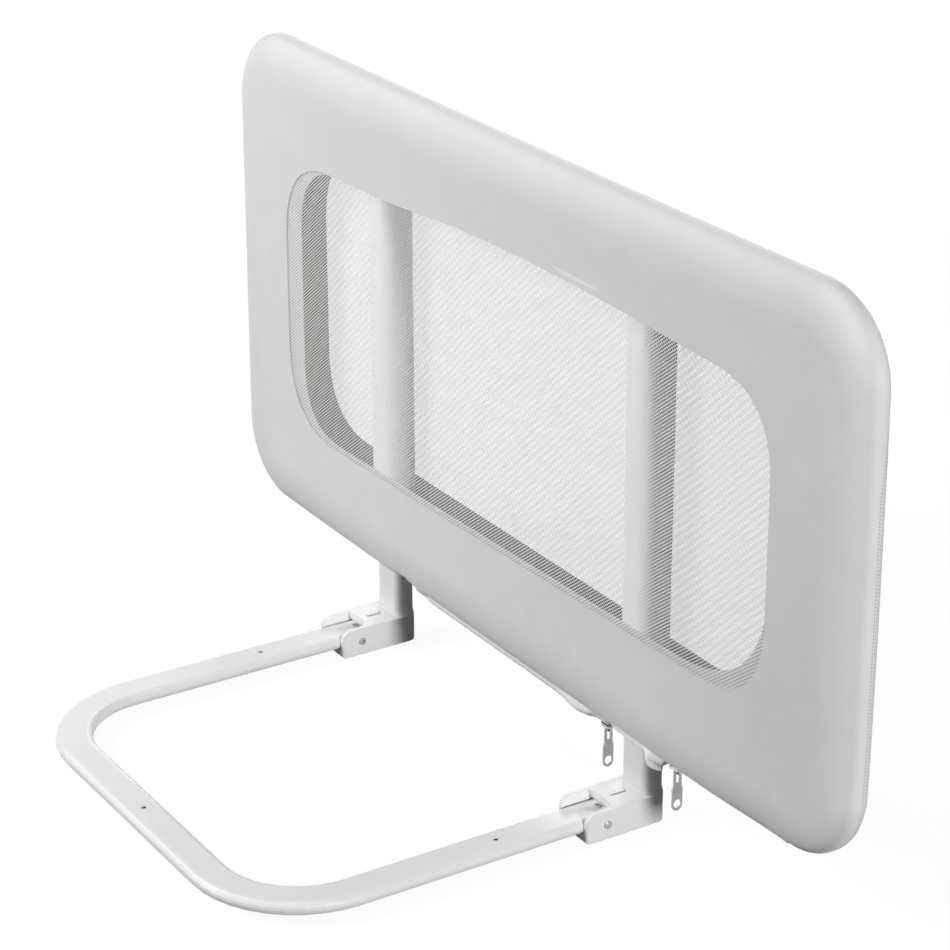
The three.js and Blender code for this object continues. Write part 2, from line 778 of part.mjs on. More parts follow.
// Folded fabric behind the mesh, wide at the left and lower edges of the window
function windowFacing() {
  const left = windowLeft + facingBandLeft;
  const right = windowRight + facingTuck;
  const inner = softOutline([
    [left, windowBottomLeft + facingBandBottomLeft, facingCornerLeft],
    [right, windowBottomRight + facingBandBottomRight, facingCornerRight],
    [right, windowTopRight + facingTuck, windowCornerTopRight],
    [panelShiftX, windowTopMiddle + facingTuck, windowRight / 2],
    [left, windowTopLeft + facingTuck, facingCornerLeft],
  ]);
  return uprightSlab(frontWindow(windowHem), [inner], facingY, meshThickness);
}

// Zip tape, side is -1 for the front and 1 for the rear, parting round the right leg
function zipTape(side) {
  const parted = legDepth / 2 + zipLegGap;
  const closed = zipChainWidth / 2 + sliderFit;
  const raise = panelUnderside + edgeRadius;
  const lowEdge = zipChainHeight / 2;
  const legLeft = legX - legWidth / 2 - zipTapeEndMargin / 2;
  const legRight = legX + legWidth / 2 + zipTapeEndMargin / 2;
  const onEdge = (y) => raise - Math.sqrt(edgeRadius ** 2 - y ** 2);
  const stations = [
    [zipStartX - zipTapeEndMargin, closed, zipMiddleZ, zipTopHalfWidth],
    [legLeft - zipPartedReach, closed, zipMiddleZ, zipTopHalfWidth],
    [legLeft, parted, (zipMiddleZ + zipRightZ) / 2, parted + zipTapeThickness],
    [legRight, parted, (zipMiddleZ + zipRightZ) / 2, parted + zipTapeThickness],
    [legRight + zipPartedReach, closed, zipRightZ, zipTopHalfWidth],
    [zipEndX + zipTapeEndMargin, closed, zipRightZ, zipTopHalfWidth],
  ];
  const eased = stations.flatMap((from, i) => {
    const to = stations[i + 1] ?? from;
    const parts = from[3] === to[3] ? 1 : arcSteps / 2;
    return Array.from({ length: parts }, (_, k) => from.map((v, j) => v + ((to[j] - v) * k) / parts));
  });
  const rings = eased.map(([x, low, z, high]) => {
    const inner = new THREE.Vector2(low, z + lowEdge);
    const outer = new THREE.Vector2(high, onEdge(high) - layerGap);
    const along = outer.clone().sub(inner).setLength(zipTapeThickness);
    const out = new THREE.Vector2(along.y, -along.x);
    const seat = new THREE.Vector2(high + zipSeatWidth, onEdge(high + zipSeatWidth) - layerGap);
    const around = [inner, inner.clone().add(out), outer.clone().add(out), seat, outer];
    return around.map((point) => new THREE.Vector3(x, side * point.x, point.y));
  });
  return loft(rings, false);
}

// Closed run of zip chain with a rounded outer side
function zipChain(lowX, highX, z) {
  const across = flatOval(zipChainWidth, zipChainHeight, arcSteps / 2);
  const ring = (x) => across.map(([u, v]) => new THREE.Vector3(x, u, z + v));
  return loft([ring(lowX), ring(highX)], false);
}

// Zip slider under the chain, mouth is -1 where it opens to the left and 1 to the right
function zipSlider(x, chainZ, mouth) {
  const inner = zipChainWidth / 2 + sliderFit;
  const outer = inner + sliderWall;
  const half = sliderLength / 2;
  const floorTop = chainZ - zipChainHeight / 2 - sliderFit;
  const plan = roundedOutline([
    [x - half, -outer - (mouth < 0 ? sliderFlare : 0), sliderWall],
    [x + half, -outer - (mouth > 0 ? sliderFlare : 0), sliderWall],
    [x + half, outer + (mouth > 0 ? sliderFlare : 0), sliderWall],
    [x - half, outer + (mouth < 0 ? sliderFlare : 0), sliderWall],
  ]);
  const body = solidOf(flatSlab(plan, [], floorTop - sliderFloor, chainZ - floorTop + sliderFloor));
  const channel = box(x - sliderLength, x + sliderLength, -inner, inner, floorTop, chainZ + sliderLength);
  const crownTop = floorTop - sliderFloor / 2;
  const crownLow = floorTop - sliderFloor - crownDrop;
  const crown = box(
    x - crownLength / 2, x + crownLength / 2, -crownWidth / 2, crownWidth / 2, crownLow, crownTop,
  );
  const eye = box(
    x - crownLength / 2 + crownBar, x + crownLength / 2 - crownBar,
    -crownLength, crownLength, crownLow + crownBar, floorTop - sliderFloor,
  );
  return body.subtract(channel).add(crown.subtract(eye));
}

// Height of the pull's bar, resting in the crown of its slider
function pullAxisZ(chainZ) {
  const crownLow = chainZ - zipChainHeight / 2 - sliderFit - sliderFloor - crownDrop;
  return crownLow + crownBar + pullBarDiameter / 2 + pullAxisGap;
}

// Zip pull hanging from its bar, with an eye at the top and a round hole below
function zipPull(x, axisZ) {
  const top = pullTopWidth / 2;
  const wide = pullWidth / 2;
  const bottom = axisZ - pullDrop;
  const outline = new THREE.Shape();
  outline.moveTo(-top, axisZ - pullBarDiameter / 2);
  outline.lineTo(-top, axisZ - pullNeckLength);
  outline.lineTo(-wide, axisZ - pullNeckLength - pullTopWidth / 2);
  outline.lineTo(-wide, bottom + wide);
  outline.absarc(0, bottom + wide, wide, Math.PI, 2 * Math.PI, false);
  outline.lineTo(wide, axisZ - pullNeckLength - pullTopWidth / 2);
  outline.lineTo(top, axisZ - pullNeckLength);
  outline.lineTo(top, axisZ - pullBarDiameter / 2);
  outline.absarc(top - pullBarDiameter / 2, axisZ, pullBarDiameter / 2, 0, Math.PI / 2, false);
  outline.absarc(-top + pullBarDiameter / 2, axisZ, pullBarDiameter / 2, Math.PI / 2, Math.PI, false);
  const plate = solidOf(sideSlab(outline.getPoints(cornerSteps), [], x, pullThickness));
  const eyeLow = axisZ - pullBarDiameter / 2 - pullEyeLength;
  const eyeHigh = axisZ + pullBarDiameter;
  const eye = box(x - pullWidth, x + pullWidth, -pullEyeWidth / 2, pullEyeWidth / 2, eyeLow, eyeHigh);
  const barEnd = top - pullBarDiameter / 2;
  const bar = rodAlongY(pullBarDiameter, x, -barEnd, barEnd, axisZ);
  const holeZ = bottom + pullHoleMargin + pullHoleDiameter / 2;
  const hole = rodAlongX(pullHoleDiameter, x - pullWidth, x + pullWidth, 0, holeZ);
  return plate.subtract(eye).subtract(hole).add(bar);
}

// Cloth tab lying round the outer side of the right leg, just under the panel
function legTab() {
  const placed = (grow) => {
    const u = legWidth / 2 + grow;
    const v = legDepth / 2 + grow;
    const outline = roundedOutline(rectangleCorners(u, v, legCornerRadius + grow));
    return outline.map((p) => new THREE.Vector2(p.x + legX, p.y));
  };
  const height = tabTopZ - tabBottomZ;
  const outer = flatSlab(placed(tabGap + tabThickness), [], tabBottomZ, height);
  const inner = flatSlab(placed(tabGap), [], tabBottomZ - height, 3 * height);
  const half = tabWidth / 2;
  const patch = sideSlab(roundedOutline([
    [-half, tabBottomZ, tabCornerRadius],
    [half, tabBottomZ, tabCornerRadius],
    [half, tabTopZ, tabThickness],
    [-half, tabTopZ, tabThickness],
  ]), [], legX + legWidth, 2 * legWidth);
  return solidOf(outer).subtract(solidOf(inner)).intersect(solidOf(patch));
}

const rail = new THREE.Group();
rail.name = 'bed_guard_rail';
rail.position.set(-panelShiftX, -originY, 0);

const base = new THREE.Group();
base.name = 'base';
base.add(piece('base_tube', baseTube(), white));
rail.add(base);

const panel = new THREE.Group();
panel.name = 'panel';
rail.add(panel);

for (const [side, word] of [[-1, 'left'], [1, 'right']]) {
  const x = side * legX;
  base.add(piece(`tube_plug_${word}`, tubePlug(x), hidden));
  base.add(piece(`plug_screw_${word}`, plugScrew(x), steel));
  panel.add(piece(`hinge_bracket_${word}`, hingeBracket(x), moulded));
  panel.add(piece(`pivot_rivet_${word}`, pivotRivet(x, side), steel));
  panel.add(piece(`post_${word}`, post(x), white));
  panel.add(piece(`post_pad_${word}`, postPad(x), foam));
  panel.add(piece(`end_pad_${word}`, endPad(side), foam));
}
panel.add(piece('frame_hoop', frameHoop(), white));
panel.add(piece('lower_rail', lowerRail(), white));
panel.add(piece('top_pad', topPad(), foam));
panel.add(piece('lower_pad', lowerPad(), foam));
panel.add(piece('cover_front', coverFront(), cloth));
panel.add(piece('window_facing', windowFacing(), cloth));
panel.add(piece('mesh_front', uprightSlab(frontWindow(windowHem), [], frontMeshY, meshThickness), net));

const backWindow = softOutline([
  [panelLeft + backBorderLeft, panelUnderside + backBorderBottom, backWindowCorner],
  [panelRight - backBorderRight, panelUnderside + backBorderBottom, backWindowCorner],
  [panelRight - backBorderRight, panelTop - backBorderTop, backWindowCorner],
  [panelLeft + backBorderLeft, panelTop - backBorderTop, backWindowCorner],
]);

// Clears the zip and the left leg from a layer of the back
function openUnderside(layer) {
  const low = panelUnderside - edgeRadius;
  const high = panelUnderside + edgeRadius;
  return solidOf(layer).subtract(box(zipStartX, zipEndX, -edgeRadius, zipSlotHalfWidth + seamGap, low, high));
}

panel.add(piece(
  'cover_back',
  openUnderside(coverLayer(backFabricRadius, fabricThickness, 1, seamY + seamGap, backWindow)),
  cloth,
));
panel.add(piece('mesh_back', openUnderside(coverLayer(edgeRadius, meshThickness, 1, seamY + seamGap, null)), net));
panel.add(piece('zip_tape_front', zipTape(-1), nylon));
panel.add(piece('zip_tape_rear', zipTape(1), nylon));
const sliderEnd = sliderLength / 2;
panel.add(piece('zip_chain_middle', zipChain(zipStartX, zipSliderLeftX + sliderEnd, zipMiddleZ), nylon));
panel.add(piece('zip_chain_right', zipChain(zipSliderRightX - sliderEnd, zipEndX, zipRightZ), nylon));
panel.add(piece('leg_tab_right', legTab(), cloth));

const zips = [['left', zipSliderLeftX, zipMiddleZ, 1], ['right', zipSliderRightX, zipRightZ, -1]];
for (const [word, x, chainZ, mouth] of zips) {
  const slider = new THREE.Group();
  slider.name = `slider_${word}`;
  slider.add(piece(`zip_slider_${word}`, zipSlider(x, chainZ, mouth), steel));
  slider.add(piece(`zip_pull_${word}`, zipPull(x, pullAxisZ(chainZ)), nylon));
  panel.add(slider);
}

export default rail;
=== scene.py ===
import math
import bpy
import numpy as np
from mathutils import Matrix, Vector, noise


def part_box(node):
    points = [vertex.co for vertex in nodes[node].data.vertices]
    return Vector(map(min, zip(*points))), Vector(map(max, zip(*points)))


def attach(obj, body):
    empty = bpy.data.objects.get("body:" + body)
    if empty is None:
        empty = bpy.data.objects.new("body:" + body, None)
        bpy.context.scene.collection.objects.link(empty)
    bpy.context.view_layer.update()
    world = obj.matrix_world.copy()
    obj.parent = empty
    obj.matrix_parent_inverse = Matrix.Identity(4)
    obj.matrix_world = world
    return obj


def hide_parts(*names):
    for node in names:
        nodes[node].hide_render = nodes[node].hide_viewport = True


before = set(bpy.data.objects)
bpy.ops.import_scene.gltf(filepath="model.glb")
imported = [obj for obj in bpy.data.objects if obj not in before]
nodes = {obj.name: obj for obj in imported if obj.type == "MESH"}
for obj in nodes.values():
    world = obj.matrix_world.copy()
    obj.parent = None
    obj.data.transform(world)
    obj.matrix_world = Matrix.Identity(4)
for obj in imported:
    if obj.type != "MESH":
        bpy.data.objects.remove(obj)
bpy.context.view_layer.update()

# Panel frame in millimetres: x from its middle, y from its mid-plane, z from the floor
MM = 0.001
MID_Y = 193.15
HALF_LENGTH = 500.0
LOW_Z, HIGH_Z = 74.7, 572.3
CENTRE = np.array((0.0, (LOW_Z + HIGH_Z) / 2))
CORNER = 76.5
LEG_X = (-222.9, 204.7)

# The padded edge: half its depth, how far the rounding reaches in, its fullness, and its seam
HALF_DEPTH = 19.2
CROWN_WIDTH = 45.0
CROWN_POWER = 2.5
SEAM_Y = 12.0

# Openings, as x and z of each corner and how far its rounding starts from it
WINDOW = [
    (-397.1, 172.0, 92), (393.4, 187.0, 84), (393.4, 467.0, 76), (0, 481.0, 201),
    (-397.1, 456.5, 84),
]
BACK_WINDOW = [(-381.1, 173.6, 78), (353.9, 173.6, 78), (353.9, 466.0, 78), (-381.1, 466.0, 78)]
FACING = [
    (-369.1, 177.5, 70), (396.4, 193.5, 122), (396.4, 470.0, 76), (0, 484.0, 201),
    (-369.1, 457.0, 70),
]
OUTLINE_POINTS = 700

# The zip: its span, the heights of its two closed stretches, and where they end and start
ZIP_SPAN = (-180.1, 418.9)
MIDDLE_Z, RIGHT_Z = 65.8, 71.3
MIDDLE_END, RIGHT_START = 156.9, 250.9
TAPE_STEP, COIL_STEP = 0.85, 0.3
TOOTH_PITCH = 1.7
COIL_WIDTH, COIL_HEIGHT = 5.6, 2.2


def to_frame(points):
    out = np.array(points, float)
    out[..., 1] += MID_Y
    return out * MM


def mesh_piece(name, points, faces, body, material):
    data = bpy.data.meshes.new(name)
    data.from_pydata([tuple(p) for p in to_frame(points)], [], faces)
    data.validate()
    data.update()
    data.shade_smooth()
    data.materials.append(material)
    obj = bpy.data.objects.new(name, data)
    bpy.context.collection.objects.link(obj)
    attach(obj, body)
    return obj


def strip_faces(rows, count, looped=True):
    """Faces between rows of points, each row closed on itself where looped."""
    faces = []
    for r in range(rows - 1):
        first, second = r * count, (r + 1) * count
        for i in range(count if looped else count - 1):
            j = (i + 1) % count
            faces.append((first + i, first + j, second + j, second + i))
    return faces


def end_faces(rows, count):
    """The faces that close the first and the last row."""
    last = (rows - 1) * count
    return [tuple(range(count))[::-1], tuple(last + i for i in range(count))]


def solidify(obj, thickness, offset=-1.0):
    mod = obj.modifiers.new("thickness", "SOLIDIFY")
    mod.thickness = thickness * MM
    mod.offset = offset
    return mod


def crisp_edges(obj):
    """Marks the open edges of a sheet as sharp, so that its cut edge doesn't tint its face."""
    data = obj.data
    uses = np.zeros(len(data.edges), int)
    np.add.at(uses, [loop.edge_index for loop in data.loops], 1)
    data.edges.foreach_set("use_edge_sharp", uses == 1)


def hump(x, middle, width):
    """A smooth hump of height 1 at the middle."""
    return np.exp(-((x - middle) / width) ** 2)


def ramp(x, start, run):
    """From 0 to 1 over a run from the start; a negative run goes to the left."""
    return np.clip((x - start) / run, 0, 1)


# Outlines in the panel's plane

def soft_outline(corners, steps=28):
    """The outline through rounded corners."""
    points = []
    for i, (x, z, reach) in enumerate(corners):
        here = np.array((x, z), float)
        ends = []
        for other in (corners[i - 1], corners[(i + 1) % len(corners)]):
            way = np.array(other[:2], float) - here
            ends.append(here + way / np.linalg.norm(way) * reach)
        start, end = ends
        t = np.linspace(0, 1, steps)[:, None]
        points.extend((1 - t) ** 2 * start + 2 * t * (1 - t) * here + t ** 2 * end)
    return np.array(points)


def grown(outline, amount):
    along = np.roll(outline, -1, 0) - np.roll(outline, 1, 0)
    along /= np.linalg.norm(along, axis=1)[:, None] + 1e-9
    return outline + np.stack((along[:, 1], -along[:, 0]), 1) * amount


def even(outline, count):
    """The outline with evenly spaced points."""
    closed = np.vstack((outline, outline[:1]))
    step = np.hypot(*np.diff(closed, axis=0).T)
    keep = np.append(step > 1e-6, True)
    run = np.concatenate(([0], np.cumsum(step)))[keep]
    closed = closed[keep]
    s = np.arange(count) * run[-1] / count
    return np.stack((np.interp(s, run, closed[:, 0]), np.interp(s, run, closed[:, 1])), 1)


def rim(count=560):
    """Evenly spaced points of the panel's outline with their outward directions."""
    half_x, half_z = HALF_LENGTH, (HIGH_Z - LOW_Z) / 2
    flat_x, flat_z = half_x - CORNER, half_z - CORNER
    arc = math.pi / 2 * CORNER
    runs = [2 * flat_x, arc, 2 * flat_z, arc, 2 * flat_x, arc, 2 * flat_z, arc]
    middles = [(flat_x, -flat_z), (flat_x, flat_z), (-flat_x, flat_z), (-flat_x, -flat_z)]
    ends = np.cumsum([0] + runs)
    points, out = [], []
    for s in np.arange(count) * ends[-1] / count:
        k = int(np.searchsorted(ends, s, side="right") - 1)
        f = s - ends[k]
        if k % 2:
            angle = -math.pi / 2 + (k // 2) * math.pi / 2 + f / CORNER
            n = np.array((math.cos(angle), math.sin(angle)))
            p = np.array(middles[k // 2]) + CORNER * n
        else:
            n = np.array([(0, -1), (1, 0), (0, 1), (-1, 0)][k // 2], float)
            along = np.array((-n[1], n[0]))
            p = n * (half_z if k % 4 == 0 else half_x) + along * (f - runs[k] / 2)
        points.append(p + CENTRE)
        out.append(n)
    return np.array(points), np.array(out)


def on_rays(outline, targets):
    """The outline's points on the rays from the panel's middle to the targets."""
    d = outline - CENTRE
    angle = np.arctan2(d[:, 1], d[:, 0])
    order = np.argsort(angle)
    reach = np.hypot(d[:, 0], d[:, 1])
    t = targets - CENTRE
    way = np.arctan2(t[:, 1], t[:, 0])
    r = np.interp(way, angle[order], reach[order], period=2 * math.pi)
    return CENTRE + np.stack((np.cos(way), np.sin(way)), 1) * r[:, None]


# Form of the cover

def crown(depth, end, steps=22):
    """Across the edge: distance inside the outline and from the mid-plane, front face first."""
    last = -math.copysign(math.asin((abs(end) / depth) ** (CROWN_POWER / 2)), end)
    rows = []
    for k in range(steps + 1):
        a = math.pi / 2 + (last - math.pi / 2) * k / steps
        inset = CROWN_WIDTH * (1 - math.cos(a) ** (2 / CROWN_POWER))
        side = math.copysign(abs(math.sin(a)) ** (2 / CROWN_POWER), a)
        rows.append((inset, -depth * side))
    return rows


def ripple(x, z, y):
    """Slow unevenness of the stretched cloth, in millimetres."""
    slow = noise.noise(Vector((x / 210, z / 150, y / 90 + 3.1)))
    quick = noise.noise(Vector((x / 62 + 9, z / 48, y / 40)))
    return 0.55 * slow + 0.18 * quick


def slack(at, out, face):
    """How much further than its frame the loose cover reaches, in its plane and in depth.

    Amounts are in millimetres, and places are shares of the half length.
    """
    left_edge, left_edge_low, right_edge = 0.4, 1.8, 2.7
    under_middle, top_middle, top_right = 3.2, 1.9, 1.2
    front_middle, front_left, front_left_low, front_low = 1.6, 0.4, 2.6, 0.6
    back_middle, back_right = 0.5, 1.8
    x, z = at[:, 0] / HALF_LENGTH, at[:, 1]
    low = np.clip((HIGH_Z - z) / (HIGH_Z - LOW_Z), 0, 1)
    left, right, middle = np.clip(-x, 0, 1), np.clip(x, 0, 1), np.cos(np.pi * x / 2)
    to_left, to_right = np.clip(-out[:, 0], 0, 1), np.clip(out[:, 0], 0, 1)
    down, up = np.clip(-out[:, 1], 0, 1), np.clip(out[:, 1], 0, 1)
    end_of_zip = 4.0 * hump(right, 0.8, 0.13)
    start_of_zip = 2.2 * hump(x, -0.312, 0.018) - 3.4 * hump(x, -0.37, 0.035)
    underside = under_middle * middle - end_of_zip + start_of_zip
    top = top_right * right ** 2 - top_middle * middle
    reach = to_left * (left_edge + left_edge_low * low)
    reach += to_right * right_edge * np.sin(np.pi * low) ** 0.7
    reach += down * underside
    reach += up * top
    if face > 0:
        fullness = front_middle * middle + left * (front_left + front_left_low * low)
        return reach, fullness + front_low * low * middle
    return reach, back_middle * middle + back_right * right


def shell(window, depth, face, end, flat_rows=16, inset_end=0.0, sunk=0.35):
    """Rows of a cover layer: from the window, over the flat, round the edge to its seam.

    The face is 1 in front and -1 behind.
    """
    settle, soft_rows = 0.35, 5
    at, out = rim()
    flat = at - out * CROWN_WIDTH
    hole = on_rays(window, flat)
    reach, more = slack(at, out, face)
    rows = []
    for k in range(flat_rows):
        t = (k / flat_rows) ** 1.4
        plan = hole + (flat - hole) * t
        y = depth - sunk * (1 - t) ** 10 + more * t ** 1.2
        rows.append(np.stack((plan[:, 0], -face * y, plan[:, 1]), 1))
    for inset, y in crown(depth, end):
        wide = (1 - inset / CROWN_WIDTH)
        plan = at - out * (inset + inset_end - reach * wide)[:, None]
        rows.append(np.stack((plan[:, 0], face * y * (1 + more / depth), plan[:, 1]), 1))
    grid = np.array(rows)
    for r in range(len(rows)):
        fade = min(1.0, r / soft_rows)
        for i in range(grid.shape[1]):
            x, y, z = grid[r, i]
            push = (ripple(x, z, y) - settle) * fade * min(1.0, abs(y) / depth)
            grid[r, i, 1] -= face * push
    return grid


def open_bottom(grid, spans):
    """Faces of a shell, without those of the underside that lie over the given spans of x."""
    opening_depth, opening_half_width = 8, 8.4
    rows, count = grid.shape[:2]
    faces = []
    for r in range(rows - 1):
        for i in range(count):
            j = (i + 1) % count
            middle = (grid[r, i] + grid[r, j] + grid[r + 1, j] + grid[r + 1, i]) / 4
            under = middle[2] < LOW_Z + opening_depth and abs(middle[1]) < opening_half_width
            if under and any(a < middle[0] < b for a, b in spans):
                continue
            faces.append((r * count + i, r * count + j, (r + 1) * count + j, (r + 1) * count + i))
    return faces


# Materials

class Look:
    """A Principled material whose nodes are made by short calls."""

    def __init__(self, name, level, rough, metal=0.0, **sockets):
        self.material = bpy.data.materials.new(name)
        self.material.use_nodes = True
        self.tree = self.material.node_tree
        self.shader = self.tree.nodes["Principled BSDF"]
        self.linear = ((level / 255 + 0.055) / 1.055) ** 2.4
        self.put(self.shader, "Base Color", (self.linear, self.linear, self.linear, 1.0))
        self.put(self.shader, "Roughness", rough)
        self.put(self.shader, "Metallic", metal)
        for key, value in sockets.items():
            self.put(self.shader, key.replace("_", " "), value)
        self.place = self.node("ShaderNodeTexCoord").outputs["Object"]

    def put(self, node, key, value):
        if isinstance(value, bpy.types.NodeSocket):
            self.tree.links.new(value, node.inputs[key])
        else:
            node.inputs[key].default_value = value

    def node(self, kind, **inputs):
        made = self.tree.nodes.new(kind)
        for key, value in inputs.items():
            self.put(made, key.replace("_", " "), value)
        return made

    def sum(self, kind, a, b=0.0):
        made = self.tree.nodes.new("ShaderNodeMath")
        made.operation = kind
        self.put(made, 0, a)
        self.put(made, 1, b)
        return made.outputs[0]

    def axes(self):
        made = self.node("ShaderNodeSeparateXYZ", Vector=self.place)
        return made.outputs[0], made.outputs[1], made.outputs[2]

    def noise(self, scale, detail=2.0, place=None):
        place = place or self.place
        made = self.node("ShaderNodeTexNoise", Vector=place, Scale=scale, Detail=detail)
        return made.outputs["Fac"]

    def range(self, value, low, high, to_low, to_high):
        made = self.node("ShaderNodeMapRange", Value=value)
        for key, number in zip(("From Min", "From Max", "To Min", "To Max"),
                               (low, high, to_low, to_high)):
            made.inputs[key].default_value = number
        return made.outputs["Result"]

    def vary_rough(self, value, low, high):
        """Roughness from low to high over the middle of a noise's values."""
        self.put(self.shader, "Roughness", self.range(value, 0.3, 0.7, low, high))

    def mix(self, factor, first, second, kind="MIX"):
        made = self.tree.nodes.new("ShaderNodeMix")
        made.data_type = "RGBA"
        made.blend_type = kind
        self.put(made, 0, factor)
        self.put(made, 6, first)
        self.put(made, 7, second)
        return made.outputs[2]

    def shade(self, factor, amount):
        """Colour times 1 +- amount by factor."""
        low, high = self.linear * (1 - amount), min(1.0, self.linear * (1 + amount))
        return self.mix(factor, (low, low, low, 1.0), (high, high, high, 1.0))

    def bump(self, height, distance, strength=1.0, after=None):
        made = self.node("ShaderNodeBump", Height=height, Distance=distance, Strength=strength)
        if after is not None:
            self.put(made, "Normal", after)
        self.put(self.shader, "Normal", made.outputs["Normal"])


def weave(look, pitch):
    """Plain weave height from the place on the cloth, going round edges as well."""
    x, y, z = look.axes()
    turn = 2 * math.pi / pitch
    across = look.sum("SINE", look.sum("MULTIPLY", look.sum("ADD", x, y), turn))
    up = look.sum("SINE", look.sum("MULTIPLY", look.sum("ADD", z, y), turn))
    return look.sum("MULTIPLY", across, up)


def needle_hole_shade(look):
    """1, and less in two rows of needle holes down the right end, which lean back near its top;
    the darker dots are painted shade in the holes.

    Sizes are in metres, and each row has its distance behind the mid-plane and its start.
    """
    half_hole, pitch, hole_share, darkness = 0.0005, 0.0031, 0.45, 0.5
    from_x, lean_from, lean = 0.47, 0.415, 0.12
    hole_rows = ((0.0027, 0.0), (0.0055, 0.0014))
    x, y, z = look.axes()
    above = look.sum("MAXIMUM", look.sum("SUBTRACT", z, lean_from), 0.0)
    drift = look.sum("MULTIPLY", above, lean)
    dots = None
    for row, start in hole_rows:
        line = look.sum("ADD", drift, MID_Y * MM + row)
        away = look.sum("ABSOLUTE", look.sum("SUBTRACT", y, line))
        across = look.sum("LESS_THAN", away, half_hole)
        along = look.sum("FRACT", look.sum("DIVIDE", look.sum("ADD", z, start + 1.0), pitch))
        dot = look.sum("MULTIPLY", across, look.sum("LESS_THAN", along, hole_share))
        dots = dot if dots is None else look.sum("MAXIMUM", dots, dot)
    dots = look.sum("MULTIPLY", dots, look.sum("GREATER_THAN", x, from_x))
    return look.sum("SUBTRACT", 1.0, look.sum("MULTIPLY", dots, darkness))


def cloth_look(name, level, pitch=0.00085, sheen=0.25, shade_needle_holes=False):
    look = Look(name, level, 0.82, Sheen_Weight=sheen, Sheen_Roughness=0.5,
                Specular_IOR_Level=0.25)
    threads = weave(look, pitch)
    slub = look.noise(1500, 1.0)
    mottle = look.noise(38, 4.0)
    both = look.sum("ADD", look.sum("MULTIPLY", slub, 0.35), look.sum("MULTIPLY", mottle, 0.65))
    colour = look.shade(both, 0.06)
    # Painted shade: the needle holes darken the cloth's colour
    if shade_needle_holes:
        colour = look.mix(1.0, colour, needle_hole_shade(look), "MULTIPLY")
    look.put(look.shader, "Base Color", colour)
    look.vary_rough(slub, 0.76, 0.9)
    height = look.sum("ADD", look.sum("MULTIPLY", threads, 0.5), slub)
    look.bump(height, 0.00012, 0.5)
    return look.material


def net_look(name, level, pitch_x, pitch_z, hole, warp=0.0, skew=0.0, sheen=0.15):
    """Round holes in alternate rows, at a pitch across and up; warp and skew pull the net."""
    look = Look(name, level, 0.75, Specular_IOR_Level=0.3, Sheen_Weight=sheen)
    x, y, z = look.axes()

    def pulled(place, scale, pitch):
        pull = look.sum("MULTIPLY", look.sum("SUBTRACT", look.noise(scale, 1.0), 0.5), warp)
        return look.sum("DIVIDE", look.sum("ADD", place, pull), pitch)

    def from_hole(place, half, pitch):
        """How far the nearest line of holes is, with the lines moved by half a pitch or none."""
        share = look.sum("FRACT", look.sum("ADD", place, half + 100))
        return look.sum("MULTIPLY", look.sum("SUBTRACT", share, 0.5), pitch)

    u = pulled(look.sum("ADD", x, y), 5.5, pitch_x)
    v = pulled(look.sum("ADD", z, look.sum("MULTIPLY", x, skew)), 4.1, pitch_z)
    best = None
    for half in (0.0, 0.5):
        du, dv = from_hole(u, half, pitch_x), from_hole(v, half, pitch_z)
        square = look.sum("ADD", look.sum("MULTIPLY", du, du), look.sum("MULTIPLY", dv, dv))
        away = look.sum("SQRT", square)
        best = away if best is None else look.sum("MINIMUM", best, away)
    thread = look.range(best, hole * 0.94, hole * 1.06, 0.0, 1.0)
    look.put(look.shader, "Alpha", thread)
    look.put(look.shader, "Base Color", look.shade(look.noise(900, 2.0), 0.05))
    look.bump(look.range(best, hole * 0.9, hole * 1.5, 0.0, 1.0), 0.0003, 0.6)
    return look.material


def paint_look(name, level, rough):
    look = Look(name, level, rough, Coat_Weight=0.25, Coat_Roughness=0.22)
    fine = look.noise(650, 3.0)
    slow = look.noise(22, 3.0)
    look.put(look.shader, "Base Color", look.shade(slow, 0.02))
    look.vary_rough(slow, rough - 0.05, rough + 0.07)
    look.bump(fine, 0.00012, 0.35)
    return look.material


def moulded_look(name, level):
    look = Look(name, level, 0.6, Specular_IOR_Level=0.15)
    soft = look.node("ShaderNodeBevel", Radius=0.0012).outputs[0]
    grain = look.noise(1400, 3.0)
    slow = look.noise(30, 3.0)
    look.put(look.shader, "Base Color", look.shade(slow, 0.025))
    look.vary_rough(slow, 0.54, 0.66)
    look.bump(grain, 0.0001, 0.4, soft)
    return look.material


def steel_look(name, level, rough=0.28, grain=0.4):
    look = Look(name, level, rough, metal=1.0)
    stretch = look.node("ShaderNodeMapping", Vector=look.place, Scale=(60, 900, 900)).outputs[0]
    lines = look.noise(1.0, 3.0, stretch)
    look.vary_rough(lines, rough - 0.08, rough + 0.14)
    look.put(look.shader, "Base Color", look.shade(look.noise(140, 3.0), 0.1))
    look.bump(lines, 0.00006, grain)
    return look.material


def foam_look(name, level):
    look = Look(name, level, 0.88, Sheen_Weight=0.2, Specular_IOR_Level=0.2)
    cells = look.node("ShaderNodeTexVoronoi", Vector=look.place, Scale=1100)
    look.put(look.shader, "Base Color", look.shade(look.noise(45, 3.0), 0.025))
    look.bump(cells.outputs["Distance"], 0.00025, 0.35)
    return look.material
